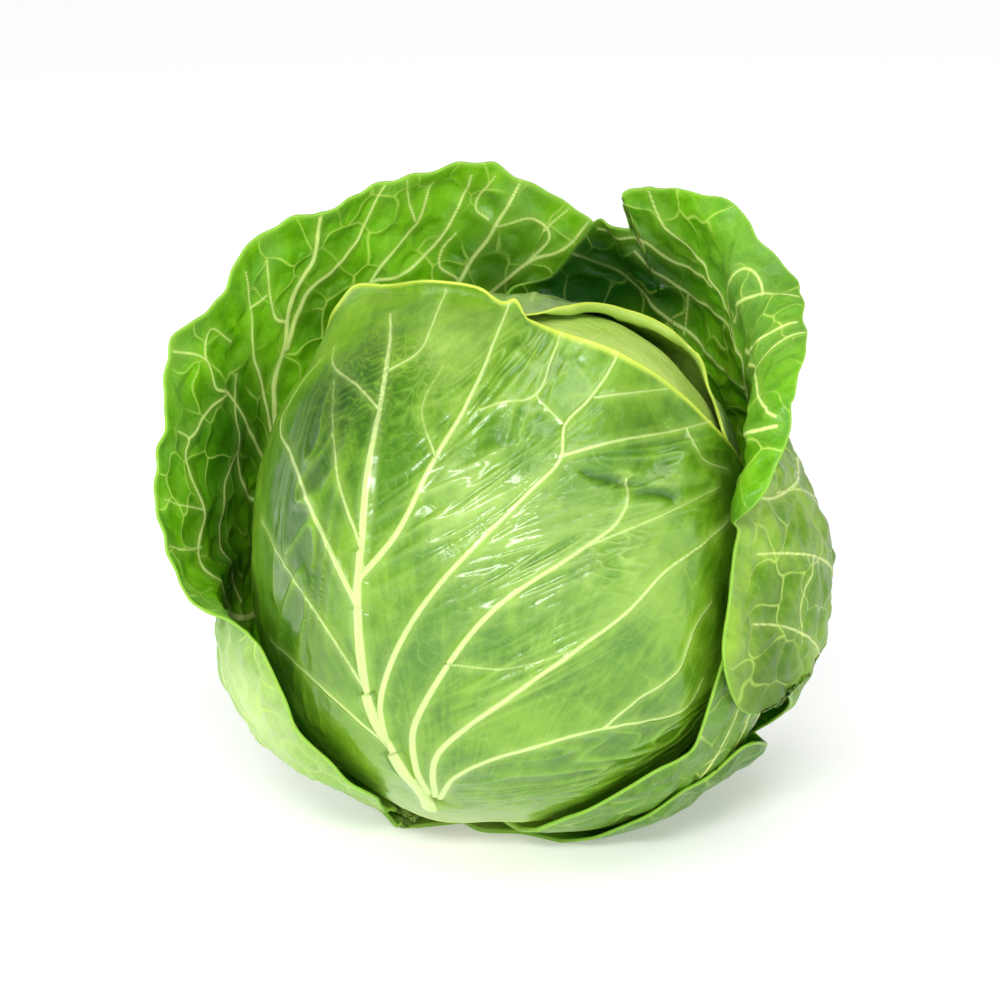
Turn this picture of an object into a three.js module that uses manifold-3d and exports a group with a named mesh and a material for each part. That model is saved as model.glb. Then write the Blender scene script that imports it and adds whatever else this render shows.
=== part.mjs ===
// A round green cabbage, as cut and ready for sale. A tight heart sits on a short stalk. Two wrapper leaves hug
// the heart, and four loose outer leaves cup it, each one lying over the leaves inside it.
//
// Millimetres. The head has its own frame: its origin is the middle of the heart, X runs across, Y from front to
// back, and Z up the head. The head leans back and rests on the pressed underside of its lowest leaf, where the
// part's origin is.
import * as THREE from "three";
import Module from "manifold-3d";
import { mergeVertices } from "three/addons/utils/BufferGeometryUtils.js";

const wasm = await Module();
wasm.setup();

// The heart is a ball with slightly squared shoulders.
const HEART = { halfAcross: 83, halfDeep: 83, above: 87, below: 85, squareness: 2.35 };
const HEART_FACETS_ROUND = 36;
const HEART_FACETS_DOWN = 20;
const LEAN_DEG = 14;
const HEART_HEIGHT = 96.5; // the middle of the heart above the surface that the head rests on

// The stalk runs down the head's axis, a little to one side, and is cut flush with the leaf bases.
const STALK = { axis: [-0.15, -0.03, -0.99], radius: 12.5, neckRadius: 11.2, inner: 72, cut: 90, clearance: 0.5 };
const STALK_SIDES = 32;

const LEAF_THICKNESS = 1.2;
const LEAF_PITCH = 2.4; // from the middle of one leaf to the middle of the leaf that lies over it
const HEART_GAP = 0.8; // extra room between the heart and the first leaf
const RESTING_PITCH = 2.2; // between leaves where the head's weight presses them flat
const PRESSED_FLAT = 0.9; // the underside goes flat on the surface where it comes this close to it
const MOST_PRESSED = 4; // leaves stacked between the surface and the leaf nearest the heart
const COVER_FADES = [1.1, 1.4]; // an outer leaf stops draping over an inner one this far past its rim
const RINGS = 10;
const SECTORS = 44;
const SAMPLES_PER_SECTOR = 5;
const RIM_DISTANCE = 95; // turns a leaf's reach, an angle, into a length along its blade

const deg = THREE.MathUtils.degToRad;
const vector = (p) => new THREE.Vector3(...p);

// Up in the head's frame once the head leans back.
const UP = new THREE.Vector3(0, -Math.sin(deg(LEAN_DEG)), Math.cos(deg(LEAN_DEG)));

// A leaf is a sheet around the heart. middle is the direction of the blade's middle from the middle of the heart.
// rim lists points on its edge, from the stalk round to the stalk again: x, y, z and, where the edge rolls
// outwards past that point, the roll's angle in degrees and its radius. The blade hugs what lies inside it and
// lifts towards its rim; a higher flare keeps the lift nearer the rim. Swells stand the blade off locally.
const LEAVES = [
  {
    name: "inner_wrapper_leaf",
    color: 0xb4d77c,
    middle: [0.1, 1, 0.15],
    flare: 6,
    rim: [
      [0, 32, -80],
      [-45, 28, -70],
      [-68, 48, -30],
      [-68, 48, 30],
      [-46, 22, 76],
      [-16, -12, 90],
      [2, -47, 80],
      [9, -48, 81, 80, 2],
      [20, -49, 82, 120, 2.5],
      [31, -47, 81, 130, 2.5],
      [45, -41, 79, 130, 2.5],
      [57, -31, 74, 110, 2.5],
      [65, -15, 69, 70, 2],
      [71, -28, 57],
      [74, -37, 44],
      [88, -6, 4],
      [80, 2, -42],
      [44, 20, -74],
    ],
  },
  {
    name: "front_wrapper_leaf",
    color: 0x9cc454,
    middle: [0, -1, 0],
    flare: 7,
    rim: [
      [-22, -17, -89],
      [-42, -20, -79],
      [-66, -8, -61],
      [-80, 16, -36],
      [-82, 26, 0],
      [-76, 22, 40],
      [-62, 6, 73],
      [-55, 2, 84, 70, 4],
      [-48, -3, 89, 110, 3],
      [-38, -7, 89, 140, 2.5],
      [-20, -38, 88, 150, 2.8],
      [-7, -43, 86, 150, 2.6],
      [2, -51, 83, 110, 1.8],
      [9, -58, 80],
      [19, -64, 76],
      [39, -65, 69],
      [59, -54, 56],
      [71, -53, 44],
      [79, -40, 35],
      [86, -22, 16],
      [88, -10, -6],
      [80, -22, -38],
      [55, -20, -72],
      [34, -11, -86],
      [10, -21, -89],
      [-2, -20, -89],
    ],
  },
  {
    name: "lower_right_leaf",
    color: 0x7fa24b,
    middle: [0.85, 0.35, -0.4],
    flare: 4,
    swells: [{ at: [0.72, 0, -0.7], height: 10, width: 20 }],
    rim: [
      [1, 4, -87],
      [6, -8, -90],
      [14, -24, -89],
      [27, -39, -84],
      [42, -51, -74],
      [51, -54, -68],
      [60, -51, -64],
      [64, -48, -61],
      [67, -52, -52],
      [70, -55, -41],
      [73, -55, -31],
      [75, -55, -18],
      [76, -53, -2],
      [88, -18, 4],
      [88, 22, 30],
      [66, 62, 22],
      [44, 82, -8],
      [34, 72, -44],
      [20, 34, -80],
    ],
  },
  {
    name: "right_outer_leaf",
    color: 0x2f6f12,
    middle: [0.8, 0.55, 0.1],
    flare: 3,
    swells: [{ at: [1, 0.22, -0.06], height: 22, width: 20 }],
    rim: [
      [-2, 18, -86],
      [10, 25, -86],
      [40, 28, -82],
      [74, 22, -68],
      [95, 4, -56],
      [98, -16, -48],
      [95, -31, -46],
      [87, -42, -50],
      [80, -50, -49],
      [75, -59, -41],
      [72, -66, -27],
      [74, -66, -11],
      [76, -62, 5],
      [74, -65, 18, 70, 5],
      [76, -64, 27, 130, 7],
      [80, -59, 37, 130, 11],
      [82, -52, 50, 125, 13],
      [84, -33, 67, 120, 13],
      [83, -14, 82, 110, 13],
      [78, -6, 98, 90, 12],
      [69, 4, 115, 50, 11],
      [60, 12, 124, 25, 12],
      [49, 18, 126, 0, 12],
      [43, 22, 124, 0, 12],
      [34, 30, 117],
      [20, 42, 100],
      [0, 44, 90],
      [-4, 76, 60],
      [0, 97, 10],
      [6, 84, -44],
      [2, 48, -78],
    ],
  },
  {
    name: "left_outer_leaf",
    color: 0x2c7a12,
    middle: [-0.5, 0.84, 0.22],
    flare: 3,
    swells: [{ at: [-0.9, 0.05, -0.43], height: 13, width: 20 }],
    rim: [
      [-28, 4, -86],
      [-30, 14, -94],
      [-35, 14, -92],
      [-43, -39, -78],
      [-50, -46, -73],
      [-56, -53, -65],
      [-62, -52, -60],
      [-67, -53, -54],
      [-70, -56, -45],
      [-74, -58, -36],
      [-78, -57, -28],
      [-87, -46, -21],
      [-98, -38, -16],
      [-108, -30, -8],
      [-114, -21, 10],
      [-117, -14, 28],
      [-115, -8, 50],
      [-112, -2, 71],
      [-101, 6, 91],
      [-88, 11, 106],
      [-76, 15, 114],
      [-58, 19, 124],
      [-35, 24, 132],
      [-16, 29, 136],
      [-3, 33, 135],
      [11, 36, 130],
      [34, 43, 119],
      [56, 66, 84],
      [70, 80, 36],
      [62, 84, -12],
      [30, 74, -58],
      [-8, 46, -80],
      [-24, 22, -86],
    ],
  },
  {
    name: "under_leaf",
    color: 0x3f7d1c,
    middle: [0.02, 0.75, -0.66],
    flare: 3,
    swells: [{ at: [0.04, 0.28, -0.96], height: 3, width: 20 }],
    rim: [
      [-12, 14, -91],
      [-12, 14, -93],
      [-6, 7, -97],
      [7, 5, -97],
      [19, -2, -95],
      [31, -12, -91],
      [46, -24, -84],
      [60, -32, -77],
      [70, -28, -73],
      [77, -26, -68],
      [83, -22, -61],
      [86, 32, -58],
      [90, 60, -34],
      [60, 96, -4],
      [10, 112, 8],
      [-40, 98, -6],
      [-72, 70, -34],
      [-76, 36, -58],
      [-58, 14, -78],
      [-36, 8, -86],
    ],
  },
];

// The distance from the middle of the heart to its surface in a direction.
function heartRadius(d) {
  const p = HEART.squareness;
  const high = d.z > 0 ? HEART.above : HEART.below;
  const sum =
    Math.abs(d.x / HEART.halfAcross) ** p + Math.abs(d.y / HEART.halfDeep) ** p + Math.abs(d.z / high) ** p;
  return sum ** (-1 / p);
}

// How far the leaf's swells stand it off in a direction.
function swell(leaf, d) {
  let height = 0;
  for (const s of leaf.swells ?? []) {
    const away = d.angleTo(vector(s.at)) / deg(s.width);
    height += s.height * Math.exp(-0.5 * away * away);
  }
  return height;
}

// The direction's bearing around the blade's middle, from -PI to PI with 0 towards the stalk, and its reach.
function polar(leaf, d) {
  const reach = d.angleTo(leaf.axis);
  const bearing = Math.atan2(d.dot(leaf.side), d.dot(leaf.down));
  return { bearing, reach };
}

// The rim at a bearing, between the two nearest samples.
function rimAt(leaf, bearing) {
  const rows = leaf.table;
  let i = rows.findIndex((row) => row.bearing > bearing);
  if (i < 0) i = 0;
  const b = rows[i];
  const a = rows[(i + rows.length - 1) % rows.length];
  const span = (b.bearing - a.bearing + 2 * Math.PI) % (2 * Math.PI) || 1e-9;
  const t = ((bearing - a.bearing + 2 * Math.PI) % (2 * Math.PI)) / span;
  const mix = (key) => a[key] + (b[key] - a[key]) * t;
  return { reach: mix("reach"), lift: mix("lift"), rollAngle: mix("rollAngle"), rollRadius: mix("rollRadius") };
}

// How high the leaf at this place in LEAVES runs in a direction, over everything that lies inside it.
function leafRadius(index, d, stackOnly = false) {
  let stack = heartRadius(d) + LEAF_PITCH / 2 + HEART_GAP;
  for (let i = 0; i <= index; i++) {
    if (i === index && stackOnly) return stack;
    const leaf = LEAVES[i];
    const { bearing, reach } = polar(leaf, d);
    const rim = rimAt(leaf, bearing);
    const share = reach / rim.reach;
    const own = stack + swell(leaf, d) + rim.lift * Math.min(share, 1) ** leaf.flare;
    if (i === index) return own;
    const cover = 1 - THREE.MathUtils.smoothstep(share, ...COVER_FADES);
    stack += cover * (own + LEAF_PITCH - stack);
  }
}

// Turns the listed rim points into a table of reach, lift and roll against bearing.
function prepare(leaf, index) {
  leaf.axis = vector(leaf.middle).normalize();
  const stalk = vector(STALK.axis).normalize();
  leaf.down = stalk.clone().addScaledVector(leaf.axis, -stalk.dot(leaf.axis)).normalize();
  leaf.side = leaf.down.clone().cross(leaf.axis);
  const spline = (of) => new THREE.CatmullRomCurve3(leaf.rim.map(of), true, "centripetal");
  const places = spline((p) => new THREE.Vector3(p[0], p[1], p[2]));
  const rolls = spline((p) => new THREE.Vector3(p[3] ?? 0, p[4] ?? 10, 0));
  leaf.table = [];
  const samples = SECTORS * SAMPLES_PER_SECTOR;
  for (let i = 0; i < samples; i++) {
    const t = places.getUtoTmapping(i / samples);
    const p = places.getPoint(t);
    const roll = rolls.getPoint(t);
    const d = p.clone().normalize();
    const floor = leafRadius(index, d, true) + swell(leaf, d);
    leaf.table.push({
      ...polar(leaf, d),
      lift: Math.max(p.length() - floor, 0),
      rollAngle: Math.max(deg(roll.x), 0),
      rollRadius: roll.y,
    });
  }
  leaf.table.sort((a, b) => a.bearing - b.bearing);
}

// How high a point of the head's frame is above the resting surface.
function heightOf(p) {
  return p.dot(UP) + HEART_HEIGHT;
}

// A point of the blade at a bearing and a reach, kept clear of the resting surface.
function bladePoint(index, bearing, reach) {
  const leaf = LEAVES[index];
  const around = leaf.down.clone().multiplyScalar(Math.cos(bearing)).addScaledVector(leaf.side, Math.sin(bearing));
  const d = leaf.axis.clone().multiplyScalar(Math.cos(reach)).addScaledVector(around, Math.sin(reach));
  const p = d.clone().multiplyScalar(leafRadius(index, d));
  const beneath = Math.min(LEAVES.length - 1 - index, MOST_PRESSED);
  const lowest = LEAF_THICKNESS / 2 + beneath * RESTING_PITCH;
  const height = heightOf(p);
  return height < lowest ? p.addScaledVector(UP, lowest - height) : p;
}

// One spoke of the blade, from its middle to its edge, with the rolled edge added past the rim.
function spoke(index, bearing) {
  const leaf = LEAVES[index];
  const rim = rimAt(leaf, bearing);
  const blade = rim.reach * RIM_DISTANCE;
  const rolled = rim.rollAngle * rim.rollRadius;
  const points = [];
  for (let i = 1; i <= RINGS; i++) {
    const along = (i / RINGS) * (blade + rolled);
    points.push(along <= blade ? bladePoint(index, bearing, (along / blade) * rim.reach) : null);
    if (along > blade) {
      const edge = bladePoint(index, bearing, rim.reach);
      const before = bladePoint(index, bearing, rim.reach * 0.97);
      const forward = edge.clone().sub(before).normalize();
      const outward = edge.clone().addScaledVector(forward, -edge.dot(forward)).normalize();
      const turn = (along - blade) / rim.rollRadius;
      points[i - 1] = edge
        .addScaledVector(forward, rim.rollRadius * Math.sin(turn))
        .addScaledVector(outward, rim.rollRadius * (1 - Math.cos(turn)));
    }
  }
  return points;
}

// A closed sheet of even thickness around a leaf's blade.
function leafGeometry(index) {
  const middle = bladePoint(index, 0, 0);
  const table = LEAVES[index].table;
  const spokes = [];
  for (let j = 0; j < SECTORS; j++) spokes.push(spoke(index, table[j * SAMPLES_PER_SECTOR].bearing));
  const points = [middle, ...spokes.flat()];
  const at = (j, i) => 1 + (j % SECTORS) * RINGS + i;
  const faces = [];
  for (let j = 0; j < SECTORS; j++) {
    faces.push([0, at(j, 0), at(j + 1, 0)]);
    for (let i = 0; i + 1 < RINGS; i++) {
      faces.push([at(j, i), at(j, i + 1), at(j + 1, i + 1)]);
      faces.push([at(j, i), at(j + 1, i + 1), at(j + 1, i)]);
    }
  }
  const normals = points.map(() => new THREE.Vector3());
  for (const [a, b, c] of faces) {
    const ab = points[b].clone().sub(points[a]);
    const normal = ab.cross(points[c].clone().sub(points[a]));
    for (const k of [a, b, c]) normals[k].add(normal);
  }
  const facing = Math.sign(normals[0].dot(middle));
  const half = (LEAF_THICKNESS / 2) * facing;
  const side = (sign) => points.map((p, k) => p.clone().addScaledVector(normals[k].clone().normalize(), sign * half));
  const outer = side(1);
  for (const p of outer) if (heightOf(p) < PRESSED_FLAT) p.addScaledVector(UP, -heightOf(p));
  const vertices = [...outer, ...side(-1)];
  const n = points.length;
  const shell = [];
  for (const [a, b, c] of faces) shell.push([a, b, c], [n + a, n + c, n + b]);
  for (let j = 0; j < SECTORS; j++) {
    const a = at(j, RINGS - 1);
    const b = at(j + 1, RINGS - 1);
    shell.push([a, n + a, n + b], [a, n + b, b]);
  }
  const turned = facing > 0 ? shell : shell.map(([a, b, c]) => [a, c, b]);
  return new THREE.BufferGeometry()
    .setAttribute("position", new THREE.Float32BufferAttribute(vertices.flatMap((v) => v.toArray()), 3))
    .setIndex(turned.flat());
}

function solid(geometry) {
  const bare = geometry.clone();
  bare.deleteAttribute("normal");
  bare.deleteAttribute("uv");
  const merged = mergeVertices(bare);
  return new wasm.Manifold(
    new wasm.Mesh({
      numProp: 3,
      vertProperties: merged.attributes.position.array,
      triVerts: new Uint32Array(merged.index.array),
    }),
  );
}

function geometryOf(manifold) {
  const made = manifold.getMesh();
  return new THREE.BufferGeometry()
    .setAttribute("position", new THREE.BufferAttribute(made.vertProperties, 3))
    .setIndex(new THREE.BufferAttribute(made.triVerts, 1));
}

// A cylinder along the stalk's axis, between two distances from the middle of the heart.
function alongStalk(nearRadius, farRadius, near, far) {
  const axis = vector(STALK.axis).normalize();
  const turn = new THREE.Quaternion().setFromUnitVectors(new THREE.Vector3(0, 1, 0), axis);
  return new THREE.CylinderGeometry(farRadius, nearRadius, far - near, STALK_SIDES)
    .applyQuaternion(turn)
    .translate(...axis.multiplyScalar((near + far) / 2).toArray());
}

function heartGeometry() {
  const sphere = new THREE.SphereGeometry(1, HEART_FACETS_ROUND, HEART_FACETS_DOWN).rotateX(Math.PI / 2);
  const ball = mergeVertices(sphere.deleteAttribute("normal").deleteAttribute("uv"));
  const place = ball.attributes.position;
  for (let i = 0; i < place.count; i++) {
    const d = new THREE.Vector3().fromBufferAttribute(place, i).normalize();
    place.setXYZ(i, ...d.multiplyScalar(heartRadius(d)).toArray());
  }
  const room = STALK.clearance;
  const wide = STALK.radius + room;
  const pocket = alongStalk(wide, wide, STALK.inner - room, STALK.cut + 20);
  return geometryOf(solid(ball).subtract(solid(pocket)));
}

function piece(name, geometry, color, roughness) {
  const mesh = new THREE.Mesh(geometry, new THREE.MeshStandardMaterial({ color, roughness, metalness: 0 }));
  mesh.name = name;
  return mesh;
}

const head = new THREE.Group();
head.position.z = HEART_HEIGHT;
head.rotation.x = -deg(LEAN_DEG);
head.add(piece("heart", heartGeometry(), 0xb9d676, 0.45));
head.add(piece("stalk", alongStalk(STALK.neckRadius, STALK.radius, STALK.inner, STALK.cut), 0xdfe6b8, 0.7));
LEAVES.forEach(prepare);
LEAVES.forEach((leaf, index) => head.add(piece(leaf.name, leafGeometry(index), leaf.color, 0.4)));

const cabbage = new THREE.Group();
cabbage.add(head);
export default cabbage;
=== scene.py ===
"""A round green cabbage: a tight heart, two wrapper leaves and four loose outer leaves.

Each leaf is a sheet around the heart, described by its rim. The sheet hugs what lies inside it and lifts
towards its rim. Veins, blisters and wrinkles are worked into its mesh; its colours follow them and carry
painted light and shade.
Shapes are worked out in millimetres in the head's own frame, then placed where the CAD heart is.
"""
import functools
import itertools
import math
from collections import namedtuple

import bpy
import numpy as np
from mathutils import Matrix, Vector
from mathutils.kdtree import KDTree


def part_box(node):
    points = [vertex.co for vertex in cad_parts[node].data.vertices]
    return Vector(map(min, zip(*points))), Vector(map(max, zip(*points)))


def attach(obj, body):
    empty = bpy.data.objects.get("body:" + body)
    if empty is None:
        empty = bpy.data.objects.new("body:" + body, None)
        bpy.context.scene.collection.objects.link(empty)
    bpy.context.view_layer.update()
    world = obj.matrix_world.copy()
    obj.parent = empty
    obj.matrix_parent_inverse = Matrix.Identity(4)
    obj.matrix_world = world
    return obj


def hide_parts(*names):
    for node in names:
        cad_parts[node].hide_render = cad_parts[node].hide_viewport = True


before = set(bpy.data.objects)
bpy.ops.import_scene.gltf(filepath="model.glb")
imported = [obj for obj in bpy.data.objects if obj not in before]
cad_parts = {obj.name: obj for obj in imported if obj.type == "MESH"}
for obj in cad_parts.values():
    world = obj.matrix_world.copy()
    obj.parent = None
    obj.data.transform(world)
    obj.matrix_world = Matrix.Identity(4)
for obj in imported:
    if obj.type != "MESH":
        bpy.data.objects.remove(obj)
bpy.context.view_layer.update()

# -------------------- driving dimensions, in millimetres

HEART_ACROSS, HEART_DEEP, HEART_ABOVE, HEART_BELOW = 83.0, 83.0, 87.0, 85.0
HEART_SQUARENESS = 2.35
HEART_DROP = 86.4  # from the middle of the heart down to its lowest point, once it leans
LEAN = math.radians(14)
STALK_AXIS = (-0.15, -0.03, -0.99)
STALK_INNER, STALK_CUT, STALK_RADIUS = 72.0, 90.0, 12.5
SHEET = 0.9  # a leaf's thickness at its rim
PITCH = 2.4  # from one leaf to the leaf over it
FREE_LIFT = (2, 12)  # how far the rim stands off before it may wave
HEART_GAP = 0.8
RESTING_PITCH = 2.2  # the same where the head's weight presses the leaves together
MOST_PRESSED = 4
COVER_FADES = (1.1, 1.4)  # where a leaf stops lifting those over it, as a share of its reach
CHART = 95.0  # millimetres of blade for each radian of reach
RIM_SAMPLES = 600

FOOT_SPREAD = 30  # of a blade's thick pale foot
FOOT_SWELLS = 1.8  # how much thicker the foot is
RIB_HEIGHT, WIDEST_RIB = 0.34, 7  # a vein stands up by this share of its width
SHOULDER_HEIGHT, WIDEST_SHOULDER = 0.1, 4
INNER_RIB = 0.35  # how much of that shows on the inner face
NET_HEIGHT, NET_WIDTH = 0.1, 0.6
BLISTER_EDGE = 3.4  # from a vein to where a blister reaches its height
BROAD_WAVE, SMALL_WAVE = 26, 9  # lengths of the blade's unevenness
CALM_RIM = 5  # the relief eases off this near the rim
CALM_SEAT, RIB_SEAT = (4, 22), (3, 16)  # heights over the table between which relief and ribs grow
FOLD_LIGHT_AND_SHADE = 0.55  # how much paler the crests of small folds are painted, a painted highlight, and how much darker the hollows between them, painted shade
DENT_SHADE = 0.5  # how much darker a crease is painted: painted shade in the crease
OUTER_SHADE = 0.45  # how much of the painted shade on a leaf's shaded face also shows on its other face

heart_low, heart_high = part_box("heart")
METRES = (heart_high.x - heart_low.x) / 2 / HEART_ACROSS
MIDDLE = np.array([
    (heart_low.x + heart_high.x) / 2,
    (heart_low.y + heart_high.y) / 2,
    heart_low.z + HEART_DROP * METRES,
])
HEART_HEIGHT = MIDDLE[2] / METRES
UP = np.array([0, -math.sin(LEAN), math.cos(LEAN)])

# -------------------- the leaves

# A patch of small folds on the spread leaf: its middle, its size along and across, the way the folds run in
# degrees from up, how wide, long and tall they are, and a seed.
Folds = namedtuple("Folds", "at size run across along tall seed")

# middle: the direction of the blade's middle. flare: how late the blade lifts towards its rim.
# grid, gather, coarse: how many cells its mesh has each way, how much they gather towards the rim, and the
# face that needs only half as many. ruffle, blister, cells: height of the rim's waves and of the blisters,
# and size of the net's cells. line: a vein's pale line, from its middle out, as a share of its width.
# swells: places where the blade bulges: direction, height and width in degrees.
# light_and_shade_spots: places painted darker as painted shade in gaps and under other leaves, and places
# painted paler as painted light, plus the left leaf's light-coloured lower wall, its own colour: x, y, z,
# size and amount. shaded: the face where the painted shade shows most.
# dents: creases on the spread leaf, also painted darker as painted shade: both ends, depth and width.
# rim: points on the leaf's edge, from the stalk round to the stalk again: x, y, z and, where the edge rolls
# outwards past that point, the roll's angle in degrees and its radius.
# veins: each one's points on the spread leaf (across, up from the blade's middle) and its width at both
# ends. A leaf without them shows little of itself and gets regular ones.
INNER_WRAPPER = {
    "name": "inner_wrapper_leaf",
    "middle": (0.1, 1, 0.15),
    "grid": 180, "gather": 1.0, "coarse": "inner",
    "flare": 3, "ruffle": 0.5, "blister": 0.4, "cells": 20,
    "rim": [
        (0, 32, -80), (-45, 28, -70), (-68, 48, -30), (-68, 48, 30), (-46, 22, 76), (-16, -12, 90),
        (2, -47, 80), (9, -48, 81, 80, 2), (20, -38, 82, 120, 2.5), (31, -24, 82, 130, 2.5),
        (45, -13, 80, 130, 2.5), (57, -8, 75, 110, 2.5), (66, -8, 69, 70, 2), (71, -20, 57), (74, -37, 44),
        (88, -6, 4), (80, 2, -42), (44, 20, -74),
    ],
}
FRONT_WRAPPER = {
    "name": "front_wrapper_leaf",
    "middle": (0, -1, 0),
    "grid": 440, "gather": 1.0, "coarse": "inner",
    "flare": 7, "ruffle": 0.5, "blister": 0.25, "cells": 17, "line": 0.3,
    "folds": [
        Folds((-18, 22), (32, 17), 50, 7, 70, 1.3, 301),
        Folds((14, 3), (32, 15), 57, 6.5, 60, 1.3, 302),
        Folds((38, 12), (12, 12), 60, 5.5, 12, 0.9, 309),
        Folds((16, -34), (34, 12), 52, 7, 80, 1.1, 303),
        Folds((-74, 0), (60, 14), 0, 14, 60, 1.8, 304),
        Folds((-56, 60), (26, 26), 20, 6, 7, 0.4, 305),
        Folds((-8, 66), (30, 22), 30, 7, 34, 0.6, 308),
        Folds((52, -70), (46, 16), 70, 8, 60, 1.4, 306),
        Folds((52, 42), (26, 14), 70, 7, 50, 1.1, 307),
    ],
    "dents": [((24, 38), (58, 34), 1.7, 3.6)],
    "light_and_shade_spots": [
        (-70, -45, 10, 26, -0.4), (-66, -40, -30, 26, -0.5), (-60, -45, 45, 26, -0.55),
        (-40, -60, 62, 20, -0.3), (82, -30, -8, 20, -1.2), (74, -45, 25, 14, -0.5),
        (45, -70, 45, 12, -0.35), (-20, -60, 68, 20, 0.5), (-5, -82, 15, 26, 0.38), (40, -76, 5, 26, 0.3),
    ],
    "rim": [
        (-22, -17, -89), (-42, -20, -79), (-66, -8, -61), (-80, 16, -36), (-82, 26, 0), (-76, 22, 40),
        (-62, 6, 73), (-55, 2, 84, 70, 4), (-48, -3, 89, 110, 3), (-38, -7, 89, 140, 2.5),
        (-20, -38, 88, 150, 2.8), (-7, -43, 86, 150, 2.6), (2, -51, 83, 110, 1.8), (9, -58, 80),
        (19, -64, 76), (39, -65, 69), (59, -54, 56), (71, -53, 44), (79, -40, 35), (86, -22, 16),
        (88, -10, -6), (80, -22, -38), (55, -20, -72), (34, -11, -86), (10, -21, -89), (-2, -20, -89),
    ],
    "veins": [
        ([(-14, -108), (-17, -95), (-29, -74), (-38, -58), (-44, -38), (-48, -18), (-50, 8), (-51, 34),
          (-52, 58), (-56, 80), (-64, 100)], 8.5, 1.3),
        ([(-47, -22), (-64, 0), (-78, 18), (-90, 32), (-103, 42), (-106, 56), (-97, 80)], 3.4, 1.0),
        ([(-48, -10), (-38, 6), (-28, 35), (-18, 62), (-13, 84), (-10, 104)], 3.4, 1.2),
        ([(-31, -72), (-35, -56), (-31, -32), (-20, -8), (5, 27), (15, 41), (15, 53), (22, 63), (28, 75),
          (30, 86)], 3.6, 1.1),
        ([(-15, 54), (3, 62), (7, 75), (10, 91)], 1.3, 0.9),
        ([(3, 62), (15, 53)], 0.9, 0.8),
        ([(-15, -96), (-21, -74), (-22, -62), (-13, -36), (0, -14), (28, 12), (38, 22), (41, 32),
          (40, 38)], 4.2, 1.4),
        ([(-12, -98), (-13, -74), (-8, -64), (16, -38), (48, -7), (60, 8), (76, 20), (88, 32)], 3.8, 1.0),
        ([(-10, -100), (-4, -81), (20, -64), (44, -53), (80, -45), (88, -34)], 3.2, 1.0),
        ([(46, -52), (56, -41), (72, -28), (76, -12), (84, -2)], 1.6, 0.9),
        ([(-29, -74), (-44, -64), (-57, -57), (-74, -50), (-92, -48)], 2.4, 0.9),
        ([(-40, -52), (-62, -30), (-88, -10), (-108, 2)], 2.0, 0.8),
        ([(-50, 0), (-62, 22), (-70, 44), (-76, 62)], 1.8, 0.7),
        ([(-52, 50), (-62, 58), (-80, 70), (-90, 86)], 1.4, 0.9),
        ([(-52, 66), (-43, 75), (-40, 88), (-38, 106)], 1.5, 1.0),
        ([(15, 42), (35, 51), (60, 60), (74, 66)], 1.8, 0.8),
        ([(24, 64), (36, 68), (52, 74)], 1.2, 0.7),
        ([(60, 60), (66, 50), (84, 50)], 1.0, 0.7),
        ([(28, 12), (52, 26), (78, 42)], 1.2, 0.7),
        ([(-28, 35), (-36, 52), (-32, 70)], 1.0, 0.6),
        ([(-13, -36), (8, -34), (30, -24)], 0.9, 0.6),
    ],
}
LOWER_RIGHT = {
    "name": "lower_right_leaf",
    "middle": (0.85, 0.35, -0.4),
    "grid": 220, "gather": 1.2, "coarse": "inner",
    "flare": 4, "ruffle": 0.9, "blister": 1.3, "cells": 12,
    "swells": [((0.72, 0, -0.7), 10, 20)],
    "rim": [
        (1, 4, -87), (6, -8, -90), (14, -24, -89), (27, -39, -84), (42, -51, -74), (51, -54, -68),
        (60, -51, -64), (64, -48, -61), (67, -52, -52), (70, -55, -41), (73, -55, -31), (75, -55, -18),
        (76, -53, -2), (88, -18, 4), (88, 22, 30), (66, 62, 22), (44, 82, -8), (34, 72, -44),
        (20, 34, -80),
    ],
}
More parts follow.
